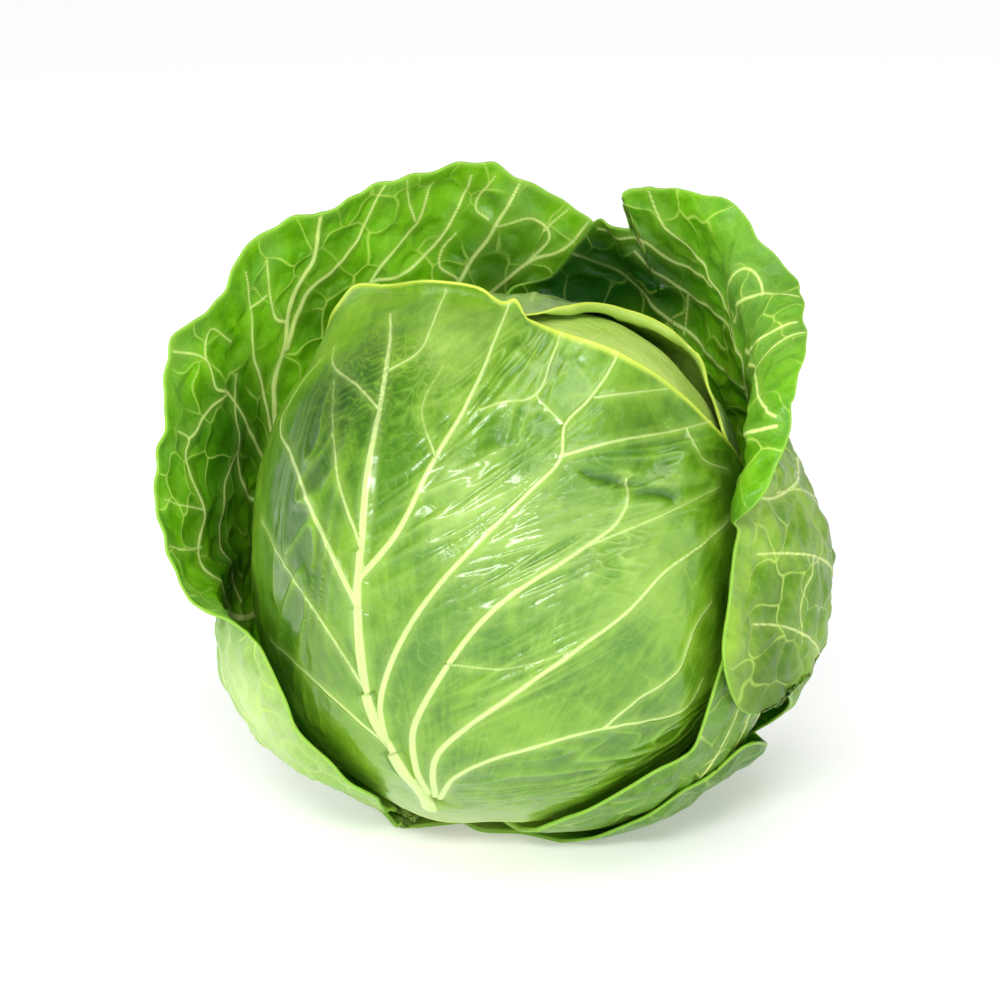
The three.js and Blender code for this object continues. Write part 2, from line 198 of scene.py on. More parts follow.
RIGHT_OUTER = {
    "name": "right_outer_leaf",
    "middle": (0.8, 0.55, 0.1),
    "grid": 380, "gather": 1.3, "coarse": "", "shaded": "inner",
    "flare": 3, "ruffle": 1.1, "blister": 1.2, "cells": 12,
    "swells": [((1, 0.22, -0.06), 22, 20)],
    "light_and_shade_spots": [
        (75, -65, 18, 11, -0.4), (91, -45, -45, 20, -1.0), (84, -34, 66, 24, 0.7), (84, -8, 92, 20, 0.7),
        (34, 38, 100, 20, -0.9), (54, 26, 92, 16, -0.9), (70, 8, 74, 14, -0.8), (80, -14, 50, 14, -0.9),
        (20, 46, 94, 20, -0.6), (116, 6, 10, 26, -0.7), (92, -46, -22, 20, -0.3),
    ],
    "rim": [
        (-2, 18, -86), (10, 25, -86), (40, 28, -82), (74, 22, -68), (95, 4, -56), (98, -16, -48),
        (95, -31, -46), (87, -42, -50), (80, -50, -49), (75, -59, -41), (72, -66, -27), (74, -66, -11),
        (76, -62, 5), (77, -63, 12, 0, 5), (75, -65, 16, 100, 6), (74, -66, 20, 130, 8.5),
        (77, -63, 27, 130, 10), (81, -59, 36, 130, 11.5), (83, -52, 50, 125, 13), (84, -33, 67, 120, 13.5),
        (83, -14, 82, 110, 13.5), (77, -6, 98, 90, 12), (69, 4, 115, 50, 11), (61, 12, 124, 20, 11),
        (54, 16, 127, 0, 11), (49, 18, 127), (42, 19, 125), (44, 22, 120), (47, 24, 114), (41, 26, 116),
        (35, 30, 119), (20, 42, 100), (0, 44, 90), (-4, 76, 60), (0, 97, 10), (6, 84, -44), (2, 48, -78),
    ],
    "veins": [
        ([(0, -150), (-3, -100), (-6, -40), (-14, 10), (-30, 40), (-48, 61), (-36, 70), (-26, 79), (-8, 94),
          (-6, 104)], 6.0, 0.9),
        ([(-44, 56), (-37, 52), (-14, 58), (-3, 67), (7, 83), (25, 102)], 1.7, 1.2),
        ([(-24, 79), (-6, 86), (1, 97), (12, 102)], 1.2, 1.0),
        ([(-47, 64), (-21, 72), (-9, 77), (-2, 84), (2, 94)], 1.7, 0.9),
        ([(-9, 77), (-5, 71), (-2, 66)], 0.9, 0.8),
        ([(-52, 66), (-63, 68), (-80, 76), (-92, 84)], 2.0, 1.0),
        ([(-33, 73), (-42, 82), (-50, 89), (-57, 88), (-62, 83)], 1.1, 0.8),
        ([(-40, 72), (-52, 80), (-70, 86), (-80, 90)], 1.3, 0.9),
        ([(-54, 60), (-75, 67), (-92, 66), (-106, 63), (-122, 59)], 1.6, 0.9),
        ([(-84, 66), (-92, 76), (-100, 82)], 1.3, 0.9),
        ([(-52, 44), (-76, 46), (-100, 50), (-124, 56)], 1.8, 1.2),
        ([(-42, 24), (-70, 22), (-96, 24), (-110, 30)], 1.6, 0.8),
        ([(-10, -10), (-40, 2), (-69, 19), (-88, 24)], 1.4, 0.7),
        ([(-6, -44), (-36, -24), (-66, -6), (-92, 2), (-110, 6)], 1.5, 0.7),
        ([(-78, -2), (-87, -15), (-84, -30)], 1.0, 0.7),
        ([(-4, -80), (-36, -52), (-66, -34), (-96, -24), (-112, -22)], 1.5, 0.7),
        ([(-2, -112), (-30, -82), (-56, -66), (-84, -54)], 2.4, 0.8),
        ([(-10, 0), (16, 30), (36, 64), (44, 96)], 2.4, 0.8),
        ([(-8, -40), (30, 0), (58, 40), (72, 66)], 2.4, 0.8),
        ([(-4, -80), (34, -40), (66, 0), (84, 24)], 2.4, 0.8),
        ([(0, -116), (30, -84), (60, -46), (82, -18)], 2.2, 0.8),
    ],
}
LEFT_OUTER = {
    "name": "left_outer_leaf",
    "middle": (-0.5, 0.84, 0.22),
    "grid": 430, "gather": 1.45, "coarse": "", "shaded": "inner",
    "flare": 3, "ruffle": 1.2, "blister": 1.1, "cells": 12,
    "swells": [((-0.9, 0.05, -0.43), 13, 20)],
    "light_and_shade_spots": [
        (-84, 22, 40, 22, -0.8), (-82, 12, 0, 22, -0.9), (-78, -10, -34, 16, -0.7),
        (-60, 34, 82, 16, -0.5), (0, 46, 96, 22, -0.6), (-84, -30, -52, 26, 0.9),
    ],
    "rim": [
        (-28, 4, -86), (-30, 14, -94), (-35, 14, -92), (-43, -39, -78), (-50, -46, -73), (-56, -53, -65),
        (-62, -52, -60), (-67, -53, -54), (-70, -56, -45), (-74, -58, -36), (-78, -57, -28),
        (-87, -46, -21), (-98, -38, -16), (-108, -30, -8), (-114, -21, 10), (-117, -14, 28),
        (-115, -8, 50), (-112, -2, 71), (-101, 6, 91), (-88, 11, 106), (-76, 15, 114), (-58, 19, 124),
        (-35, 24, 132), (-16, 29, 136), (-3, 33, 135), (11, 36, 130), (34, 43, 119), (56, 66, 84),
        (70, 80, 36), (62, 84, -12), (30, 74, -58), (-8, 46, -80), (-24, 22, -86),
    ],
    "veins": [
        ([(4, -152), (22, -96), (38, -40), (48, 6), (52, 34), (51, 45), (50, 60), (47, 70),
          (50, 82)], 6.0, 1.4),
        ([(51, 51), (55, 51), (58, 57), (60, 64)], 1.3, 0.8),
        ([(50, 44), (48, 52), (46, 61), (39, 70), (34, 82), (33, 94)], 2.0, 0.9),
        ([(44, -10), (36, 40), (27, 68), (24, 78), (17, 87), (17, 98)], 2.6, 1.0),
        ([(18, 88), (23, 92), (28, 98)], 1.1, 0.7),
        ([(38, -34), (34, 40), (26, 70), (14, 77), (8, 86), (6, 98), (8, 104)], 2.4, 1.0),
        ([(32, -60), (12, 30), (-2, 78), (-3, 88), (-5, 96), (-6, 110)], 3.2, 1.2),
        ([(-3, 98), (1, 97), (2, 102), (1, 106)], 1.1, 0.8),
        ([(-2, 81), (5, 81), (6, 85), (4, 90)], 1.1, 0.8),
        ([(26, -84), (-4, 30), (-12, 83), (-19, 97), (-29, 104), (-31, 112)], 2.6, 1.1),
        ([(-19, 97), (-22, 104), (-14, 106), (-5, 98)], 1.2, 0.8),
        ([(-19, 105), (-24, 112)], 1.0, 0.8),
        ([(50, 10), (58, 33), (62, 39), (65, 52), (67, 60)], 1.6, 0.8),
        ([(65, 52), (59, 56)], 1.0, 0.8),
        ([(48, 0), (62, 14), (72, 27), (77, 28), (79, 35), (89, 35)], 1.6, 0.9),
        ([(79, 35), (78, 44), (71, 42)], 0.9, 0.7),
        ([(46, -10), (64, -6), (71, 10), (68, 33)], 1.7, 0.8),
        ([(94, 5), (93, 13), (97, 15)], 1.2, 0.7),
        ([(93, 13), (84, 20), (72, 27)], 1.1, 0.9),
        ([(38, -44), (62, -52), (84, -48), (99, -38), (99, -26), (92, -12), (94, 6)], 2.4, 1.0),
        ([(66, -46), (84, -31), (82, -15), (77, -1), (71, 10)], 1.3, 0.8),
        ([(92, -11), (102, -9), (107, -7)], 0.9, 0.6),
        ([(97, -24), (107, -24), (114, -22)], 0.9, 0.6),
        ([(24, -92), (60, -92), (88, -84), (108, -66)], 2.2, 0.8),
        ([(14, -120), (44, -114), (74, -110), (92, -102)], 2.2, 0.8),
        ([(18, -106), (-26, -34), (-44, 26), (-56, 70), (-60, 92)], 2.4, 0.9),
        ([(10, -130), (-34, -74), (-72, -22), (-90, 24), (-98, 50)], 2.2, 0.9),
    ],
}
UNDER = {
    "name": "under_leaf",
    "middle": (0.02, 0.75, -0.66),
    "grid": 220, "gather": 1.2, "coarse": "inner",
    "flare": 3, "ruffle": 0.8, "blister": 1.1, "cells": 13,
    "swells": [((0.04, 0.28, -0.96), 3, 20)],
    "rim": [
        (-12, 14, -91), (-12, 14, -93), (-6, 7, -97), (7, 5, -97), (19, -2, -95), (31, -12, -91),
        (46, -24, -84), (60, -32, -77), (70, -28, -73), (77, -26, -68), (83, -22, -61), (86, 32, -58),
        (90, 60, -34), (60, 96, -4), (10, 112, 8), (-40, 98, -6), (-72, 70, -34), (-76, 36, -58),
        (-58, 14, -78), (-36, 8, -86),
    ],
}

LEAVES = [INNER_WRAPPER, FRONT_WRAPPER, LOWER_RIGHT, RIGHT_OUTER, LEFT_OUTER, UNDER]

# -------------------- shape arithmetic


def unit(v):
    v = np.asarray(v, float)
    return v / np.linalg.norm(v, axis=-1, keepdims=True)


def smoothstep(x, low, high):
    t = np.clip((x - low) / (high - low), 0, 1)
    return t * t * (3 - 2 * t)


def ripples(points, wavelength, seed, waves=18):
    """Smooth noise of about unit size and the given wavelength, at points in millimetres."""
    rng = np.random.default_rng(seed)
    total = np.zeros(points.shape[:-1])
    for _ in range(waves):
        direction = unit(rng.normal(size=points.shape[-1]))
        count = 2 * math.pi / (wavelength * rng.uniform(0.7, 1.4))
        total += np.sin(points @ direction * count + rng.uniform(0, 2 * math.pi))
    return total / math.sqrt(waves / 2)


def blend(a, b, start, end, t):
    return (end - t) / (end - start) * a + (t - start) / (end - start) * b


def spline(points, spacing, closed=False):
    """Points about a spacing apart on a smooth curve through the given ones, which start with a place."""
    p = np.asarray(points, float)
    ends = (p[-1:], p[:2]) if closed else (2 * p[:1] - p[1:2], 2 * p[-1:] - p[-2:-1])
    q = np.concatenate([ends[0], p, ends[1]])
    steps = np.linalg.norm(np.diff(q[:, :3], axis=0), axis=1)
    knots = np.concatenate([[0], np.cumsum(steps ** 0.5 + 1e-6)])
    out = []
    for i in range(1, len(q) - 2):
        t0, t1, t2, t3 = knots[i - 1:i + 3]
        length = np.linalg.norm(q[i + 1, :3] - q[i, :3])
        t = np.linspace(t1, t2, max(int(length / spacing * 2), 6), endpoint=False)[:, None]
        a1 = blend(q[i - 1], q[i], t0, t1, t)
        a2 = blend(q[i], q[i + 1], t1, t2, t)
        a3 = blend(q[i + 1], q[i + 2], t2, t3, t)
        b1 = blend(a1, a2, t0, t2, t)
        b2 = blend(a2, a3, t1, t3, t)
        out.append(blend(b1, b2, t1, t2, t))
    out.append(q[-2:-1] if not closed else q[1:2])
    dense = np.concatenate(out)
    along = np.concatenate([[0], np.cumsum(np.linalg.norm(np.diff(dense[:, :3], axis=0), axis=1))])
    count = max(int(round(along[-1] / spacing)), 2)
    even = np.linspace(0, along[-1], count + 1)
    return np.stack([np.interp(even, along, dense[:, k]) for k in range(dense.shape[1])], axis=1)


def heart_radius(d):
    high = np.where(d[..., 2] > 0, HEART_ABOVE, HEART_BELOW)
    p = HEART_SQUARENESS
    total = np.abs(d[..., 0] / HEART_ACROSS) ** p + np.abs(d[..., 1] / HEART_DEEP) ** p
    return (total + np.abs(d[..., 2] / high) ** p) ** (-1 / p)


def swell(leaf, d):
    height = np.zeros(d.shape[:-1])
    for at, tall, wide in leaf.get("swells", []):
        away = np.arccos(np.clip(d @ unit(at), -1, 1)) / math.radians(wide)
        height += tall * np.exp(-0.5 * away ** 2)
    return height


def polar(leaf, d):
    """A direction's bearing round the blade's middle, with 0 towards the stalk, and its reach."""
    reach = np.arccos(np.clip(d @ leaf["axis"], -1, 1))
    return np.arctan2(d @ leaf["side"], d @ leaf["down"]), reach


def rim_at(leaf, bearing):
    """The rim's reach, lift, roll angle, roll radius and wave at a bearing."""
    table = leaf["table"]
    turn = np.array([2 * math.pi, 0, 0, 0, 0, 0])
    rows = np.concatenate([table - turn, table, table + turn])
    return [np.interp(bearing, rows[:, 0], rows[:, k]) for k in range(1, 6)]


def leaf_radius(index, d, stack_only=False):
    """How far a leaf runs from the middle of the heart, over everything that lies inside it."""
    stack = heart_radius(d) + PITCH / 2 + HEART_GAP
    for i in range(index + 1):
        if i == index and stack_only:
            return stack
        leaf = LEAVES[i]
        bearing, reach = polar(leaf, d)
        rim_reach, lift, _, _, wave = rim_at(leaf, bearing)
        share = reach / rim_reach
        own = stack + swell(leaf, d) + lift * np.minimum(share, 1) ** leaf["flare"]
        if i == index:
            free = smoothstep(lift, *FREE_LIFT)
            return own + wave * free * np.clip(share, 0, 1.2) ** 7
        cover = 1 - smoothstep(share, *COVER_FADES)
        stack = stack + cover * (own + PITCH - stack)


def prepare(index):
    """Turns a leaf's rim points into a table of its rim against bearing."""
    leaf = LEAVES[index]
    stalk = unit(STALK_AXIS)
    leaf["axis"] = unit(leaf["middle"])
    leaf["down"] = unit(stalk - leaf["axis"] * (stalk @ leaf["axis"]))
    leaf["side"] = np.cross(leaf["down"], leaf["axis"])
    rows = [list(p) + [0, 10] if len(p) == 3 else list(p) for p in leaf["rim"]]
    length = np.linalg.norm(np.diff(np.array(rows + rows[:1])[:, :3], axis=0), axis=1).sum()
    rim = spline(rows, length / RIM_SAMPLES, closed=True)[:-1]
    d = unit(rim[:, :3])
    bearing, reach = polar(leaf, d)
    leaf["table"] = np.zeros((2, 6))
    floor = leaf_radius(index, d, stack_only=True) + swell(leaf, d)
    lift = np.maximum(np.linalg.norm(rim[:, :3], axis=1) - floor, 0)
    wave = leaf["ruffle"] * ripples(rim[:, :3], 34, index + 5)
    wave += 0.4 * leaf["ruffle"] * ripples(rim[:, :3], 13, index + 25)
    scallop = 0.35 * leaf["ruffle"] * ripples(rim[:, :3], 16, index + 45)
    reach = reach + scallop * smoothstep(lift, *FREE_LIFT) / CHART
    roll = np.maximum(np.radians(rim[:, 3]), 0)
    table = np.stack([bearing, reach, lift, roll, rim[:, 4], wave], axis=1)
    leaf["table"] = table[np.argsort(table[:, 0])]


def blade_point(index, bearing, reach):
    """Points of the blade, kept clear of the resting surface."""
    leaf = LEAVES[index]
    around = np.cos(bearing)[..., None] * leaf["down"] + np.sin(bearing)[..., None] * leaf["side"]
    d = np.cos(reach)[..., None] * leaf["axis"] + np.sin(reach)[..., None] * around
    p = d * leaf_radius(index, d)[..., None]
    lowest = SHEET / 2 + min(len(LEAVES) - 1 - index, MOST_PRESSED) * RESTING_PITCH
    sunk = np.maximum(lowest - (p @ UP + HEART_HEIGHT), 0)
    return p + sunk[..., None] * UP


def surface(index, bearing, along):
    """Points of the whole leaf, rolled edge included, at a bearing and a length from the blade's middle."""
    leaf = LEAVES[index]
    rim_reach, _, roll, radius, _ = rim_at(leaf, bearing)
    blade = rim_reach * CHART
    p = blade_point(index, bearing, np.minimum(along, blade) / CHART)
    past = np.clip(along - blade, 0, roll * radius)
    edge = blade_point(index, bearing, rim_reach)
    forward = unit(edge - blade_point(index, bearing, rim_reach * 0.97))
    outward = unit(edge - forward * (edge * forward).sum(-1, keepdims=True))
    turn = (past / radius)[..., None]
    r = radius[..., None]
    rolled = p + forward * r * np.sin(turn) + outward * r * (1 - np.cos(turn))
    return np.where((past > 0)[..., None], rolled, p)


def disc_grid(n):
    """An n by n grid laid over a disc: each point's distance from the middle, 0 to 1, and its angle."""
    a, b = np.meshgrid(np.linspace(-1, 1, n), np.linspace(-1, 1, n), indexing="ij")
    wide = np.abs(a) > np.abs(b)
    with np.errstate(divide="ignore", invalid="ignore"):
        angle = np.where(wide, math.pi / 4 * b / a, math.pi / 2 - math.pi / 4 * a / b)
    distance = np.where(wide, a, b)
    angle = np.where(np.abs(distance) < 1e-9, 0, angle) + np.where(distance < 0, math.pi, 0)
    return np.abs(distance), np.mod(angle, 2 * math.pi)


def leaf_grid(index, n):
    """The bearing, the length along the blade and the distance from the rim of each grid point."""
    leaf = LEAVES[index]
    distance, angle = disc_grid(n)
    table = leaf["table"]
    rows = len(table)
    start = table[0, 0]
    even = start + angle
    stops = np.append(table[:, 0], start + 2 * math.pi)
    spaced = np.interp(angle / (2 * math.pi) * rows, np.arange(rows + 1), stops)
    weight = distance ** 2
    bearing = (1 - weight) * even + weight * spaced
    distance = leaf["gather"] * distance + (1 - leaf["gather"]) * distance ** 2
    rim_reach, _, roll, radius, _ = rim_at(leaf, bearing)
    total = rim_reach * CHART + roll * radius
    return bearing, distance * total, (1 - distance) * total


def normals_of(points):
    across = np.gradient(points, axis=0)
    down = np.gradient(points, axis=1)
    n = np.cross(across, down)
    n /= np.maximum(np.linalg.norm(n, axis=-1, keepdims=True), 1e-9)
    middle = points.shape[0] // 2
    facing = np.sign((n[middle, middle] * points[middle, middle]).sum())
    return n * facing


# -------------------- veins


def pinnate(index):
    """Veins for a leaf that shows little of itself: a midrib with branches to both sides."""
    leaf = LEAVES[index]
    reach_down = float(rim_at(leaf, np.array(0.0))[0]) * CHART
    reach_up = float(rim_at(leaf, np.array(math.pi))[0]) * CHART
    midrib = [(0, -reach_down), (2, -reach_down * 0.5), (-2, 0), (3, reach_up * 0.5), (0, reach_up * 0.92)]
    veins = [(midrib, 7.0, 1.2)]
    for k in range(7):
        low = -reach_down * 0.85 + k * (reach_down * 0.85 + reach_up * 0.6) / 7
        for hand in (-1, 1):
            start = low + 5 * hand
            branch = [(0, start), (24 * hand, start + 20), (52 * hand, start + 50), (74 * hand, start + 84)]
            veins.append((branch, 2.4, 0.7))
    return veins


def vein_places(index, veins):
    """Places along all of a leaf's veins and the vein's width at each."""
    leaf = LEAVES[index]
    places, widths = [], []
    for points, wide, narrow in veins:
        flat = spline([(x, y, 0) for x, y in points], 0.7)
        bearing = np.arctan2(-flat[:, 0], -flat[:, 1])
        along = np.hypot(flat[:, 0], flat[:, 1])
        rim_reach, _, roll, radius, _ = rim_at(leaf, bearing)
        inside = along < rim_reach * CHART + roll * radius
        share = np.linspace(0, 1, len(flat)) ** 0.8
        width = wide + (narrow - wide) * share
        places.append(surface(index, bearing, along)[inside])
        widths.append(width[inside])
    return np.concatenate(places), np.concatenate(widths)


def tree_of(places):
    tree = KDTree(len(places))
    for k, p in enumerate(places):
        tree.insert(p, k)
    tree.balance()
    return tree


def nearest_vein(points, places, widths):
    """Each point's distance from the nearest vein, and that vein's width there."""
    tree = tree_of(places)
    found = np.array([tree.find(p)[1:] for p in points.reshape(-1, 3)])
    width = widths[found[:, 0].astype(int)]
    return found[:, 1].reshape(points.shape[:2]), width.reshape(points.shape[:2])


def scattered(points, spacing, seed):
    """Points picked from a grid, each about a spacing or more from the others."""
    rng = np.random.default_rng(seed)
    flat = points.reshape(-1, 3)
    beside = list(itertools.product((-1, 0, 1), repeat=3))
    cells = {}
    kept = []
    for k in rng.permutation(len(flat))[:14000]:
        p = flat[k]
        x, y, z = (p // spacing).astype(int)
        close = (q for dx, dy, dz in beside for q in cells.get((x + dx, y + dy, z + dz), ()))
        if not any((q - p) @ (q - p) < spacing * spacing for q in close):
            kept.append(p)
            cells.setdefault((x, y, z), []).append(p)
    return np.array(kept)


def net_distance(points, spacing, seed):
    """Each point's distance from a net of many-sided cells."""
    seeds = scattered(points, spacing, seed)
    tree = tree_of(seeds)
    wander = np.stack([ripples(points, 14, seed + k, 10) for k in (1, 2, 3)], axis=-1)
    flat = (points + wander * spacing * 0.09).reshape(-1, 3)
    out = np.empty(len(flat))
    for k, p in enumerate(flat):
        (a, _, _), (b, _, _) = tree.find_n(p, 2)
        across = b - a
        out[k] = abs((Vector(p) - (a + b) / 2).dot(across)) / across.length
    return out.reshape(points.shape[:2])


# -------------------- meshes


def to_world(points):
    """From millimetres in the leaning head's frame to metres in the part's."""
    x, y, z = points[..., 0], points[..., 1], points[..., 2]
    back = y * math.cos(LEAN) + z * math.sin(LEAN)
    height = z * math.cos(LEAN) - y * math.sin(LEAN)
    return np.stack([x, back, height], axis=-1) * METRES + MIDDLE


def mesh_object(name, vertices, faces, attributes):
    """A smooth mesh from vertices, a list of arrays of faces and its attributes."""
    corners = np.concatenate([f.ravel() for f in faces])
    sizes = np.concatenate([np.full(len(f), f.shape[1]) for f in faces])
    mesh = bpy.data.meshes.new(name)
    mesh.vertices.add(len(vertices))
    mesh.vertices.foreach_set("co", vertices.astype(np.float32).ravel())
    mesh.loops.add(len(corners))
    mesh.loops.foreach_set("vertex_index", corners.astype(np.int32))
    mesh.polygons.add(len(sizes))
    mesh.polygons.foreach_set("loop_start", (np.cumsum(sizes) - sizes).astype(np.int32))
    mesh.polygons.foreach_set("use_smooth", np.ones(len(sizes), bool))
    mesh.update(calc_edges=True)
    for key, values in attributes.items():
        mesh.attributes.new(key, "FLOAT", "POINT").data.foreach_set("value", values.astype(np.float32))
    obj = bpy.data.objects.new(name, mesh)
    bpy.context.scene.collection.objects.link(obj)
    return obj


def grid_quads(k):
    return np.stack([k[:-1, :-1], k[1:, :-1], k[1:, 1:], k[:-1, 1:]], axis=-1).reshape(-1, 4)


def grid_edge(k):
    """The border of a square grid, all the way round."""
    return np.concatenate([k[:-1, 0], k[-1, :-1], k[:0:-1, -1], k[0, :0:-1]])


def strip(a, b):
    """Faces between two borders, of which the first may have twice as many points."""
    a2, b2 = np.roll(a, -1), np.roll(b, -1)
    if len(a) == len(b):
        return [np.stack([a, b, b2, a2], axis=-1)]
    first, middle, last = a[::2], a[1::2], np.roll(a[::2], -1)
    return [np.stack([first, b, middle], axis=-1), np.stack([middle, b, b2, last], axis=-1)]


def leaf_fields(index, n):
    """Everything worked out on one leaf's middle sheet, on an n by n grid."""
    leaf = LEAVES[index]
    bearing, along, from_rim = leaf_grid(index, n)
    base = surface(index, bearing, along)
    normal = normals_of(base)
    veins = leaf.get("veins") or pinnate(index)
    away, width = nearest_vein(base, *vein_places(index, veins))
    net_away = net_distance(base, leaf["cells"], index + 60)
    foot = np.exp(-(np.linalg.norm(base - unit(STALK_AXIS) * (STALK_CUT - 2), axis=-1) / FOOT_SPREAD) ** 2)
    height = base @ UP + HEART_HEIGHT
    core = np.exp(-(away / (0.5 * width + 0.15)) ** 2)
    shoulder = np.exp(-(away / (width + 1.2)) ** 2)
    net = np.exp(-(net_away / NET_WIDTH) ** 2)

    # Blisters stand up between the veins, and ease off at the rim and where the leaf is pressed flat.
    calm = smoothstep(from_rim, 0, CALM_RIM) * (1 - foot) * smoothstep(height, *CALM_SEAT)
    between = np.minimum(net_away, np.maximum(away - 0.5 * width, 0))
    pillow = (1 - np.exp(-(between / BLISTER_EDGE) ** 2)) * leaf["blister"]
    rough = 0.5 * ripples(base, BROAD_WAVE, index + 80) + 0.2 * ripples(base, SMALL_WAVE, index + 90)
    bend = (pillow + rough * (0.3 + leaf["blister"] * 0.5)) * calm
    light_and_shade = np.zeros_like(away)
    for patch in leaf.get("folds", []):
        raised, shown = folds(patch, bearing, along)
        bend += patch.tall * raised * shown * calm * (1 - 0.8 * core)
        # Fold crests are painted paler, a painted highlight, and the hollows between them darker, painted
        # shade.
        light_and_shade += FOLD_LIGHT_AND_SHADE * (raised - 0.45) * shown
    # Painted shade and painted light: darker where shade falls in gaps and under other leaves, paler where
    # light falls, and paler on the left leaf's lower wall, which is its own colour.
    for x, y, z, wide, amount in leaf.get("light_and_shade_spots", []):
        light_and_shade += amount * np.exp(-(np.linalg.norm(base - (x, y, z), axis=-1) / wide) ** 2)
    for start, end, depth, wide in leaf.get("dents", []):
        near = dent(start, end, wide, bearing, along)
        bend -= depth * near
        # The crease is painted darker: painted shade.
        light_and_shade -= DENT_SHADE * near ** 2
    proud = RIB_HEIGHT * np.minimum(width, WIDEST_RIB) * core
    proud = proud + SHOULDER_HEIGHT * shoulder * np.minimum(width, WIDEST_SHOULDER) + NET_HEIGHT * net
    side_x, side_y = chart_of(bearing, along)
    return {
        "base": base, "normal": normal, "bend": bend, "proud": proud * smoothstep(height, *RIB_SEAT),
        "half": SHEET / 2 * (1 + FOOT_SWELLS * foot),
        "vein_gap": away - leaf.get("line", 0.5) * width, "net_gap": net_away, "foot": foot, "light_and_shade": light_and_shade,
        "from_rim": from_rim, "side_x": side_x, "side_y": side_y,
    }


def leaf_mesh(index):
    """A leaf as one closed sheet: an outer and an inner face joined round the rim."""
    leaf = LEAVES[index]
    half_grid = leaf["grid"] // 2
    n = 2 * half_grid - 1
    fields = leaf_fields(index, n)
    vertices, faces, values, borders = [], [], [], []
    start = 0
    for inside, name in enumerate(("outer", "inner")):
        step = 2 if leaf["coarse"] == name else 1
        f = {key: value[::step, ::step] for key, value in fields.items()}
        hand = -1 if inside else 1
        relief = f["bend"] + hand * (f["half"] + (INNER_RIB if inside else 1) * f["proud"])
        p = f["base"] + f["normal"] * relief[..., None]
        sunk = np.maximum(0.02 - (p @ UP + HEART_HEIGHT), 0)
        p = p + sunk[..., None] * UP
        vertices.append(p.reshape(-1, 3))
        f["inside"] = np.full(p.shape[:2], float(inside))
        # Painted shade shows weaker on the face that is not the shaded one.
        if leaf.get("shaded", name) != name:
            f["light_and_shade"] = np.where(f["light_and_shade"] < 0, OUTER_SHADE * f["light_and_shade"], f["light_and_shade"])
        values.append(f)
        numbers = start + np.arange(f["inside"].size).reshape(p.shape[:2])
        quads = grid_quads(numbers)
        faces.append(quads[:, ::-1] if inside else quads)
        borders.append(grid_edge(numbers))
        start += numbers.size
    if len(borders[0]) >= len(borders[1]):
        joins = strip(borders[0], borders[1])
    else:
        joins = [j[:, ::-1] for j in strip(borders[1], borders[0])]
    faces += joins
    world_vertices = to_world(np.concatenate(vertices))
    if not looks_out(world_vertices, faces[0]):
        faces = [f[:, ::-1] for f in faces]
    names = ("vein_gap", "net_gap", "foot", "light_and_shade", "from_rim", "inside", "side_x", "side_y")
    attributes = {key: np.concatenate([v[key].ravel() for v in values]) for key in names}
    return mesh_object(leaf["name"] + "_fine", world_vertices, faces, attributes)


def looks_out(vertices, quads):
    """Whether the outer face's quads look away from the heart."""
    middle = quads[len(quads) // 2]
    a, b, c = (vertices[middle[k]] for k in (0, 1, 2))
    away = vertices[middle[0]] - MIDDLE
    return np.cross(b - a, c - a) @ away > 0


def chart_of(bearing, along):
    return -along * np.sin(bearing), -along * np.cos(bearing)


def folds(patch, bearing, along):
    """Sharp little folds that run one way, and how much they show: only inside one patch of the blade."""
    x, y = chart_of(bearing, along)
    run = math.radians(patch.run)
    x, y = x - patch.at[0], y - patch.at[1]
    across = x * math.cos(run) - y * math.sin(run)
    onward = x * math.sin(run) + y * math.cos(run)
    spread = np.stack([across / patch.across, onward / patch.along], axis=-1)
    wander = 0.35 * ripples(spread, 2.2, patch.seed + 1, 12)
    noise = ripples(spread + wander[..., None], 1.0, patch.seed, 30)
    crest = (1 - np.minimum(np.abs(noise) * 0.8, 1)) ** 1.6
    long, wide = patch.size
    return crest, np.exp(-((onward / long) ** 2 + (across / wide) ** 2))


def dent(start, end, wide, bearing, along):
    """How near each place is to a crease between two points of the spread leaf, from 0 to 1."""
    x, y = chart_of(bearing, along)
    run = np.subtract(end, start)
    t = ((x - start[0]) * run[0] + (y - start[1]) * run[1]) / (run @ run)
    t = np.clip(t, 0, 1)
    gap = np.hypot(x - start[0] - t * run[0], y - start[1] - t * run[1])
    return np.exp(-(gap / (wide * (0.45 + 0.55 * np.sin(math.pi * np.clip(t, 0.02, 0.98))))) ** 2)


# -------------------- materials


def linear(r, g, b):
    """A colour given in 0 to 255 display values, for a shader."""
    c = np.array([r, g, b]) / 255
    return (*np.where(c <= 0.04045, c / 12.92, ((c + 0.055) / 1.055) ** 2.4), 1.0)


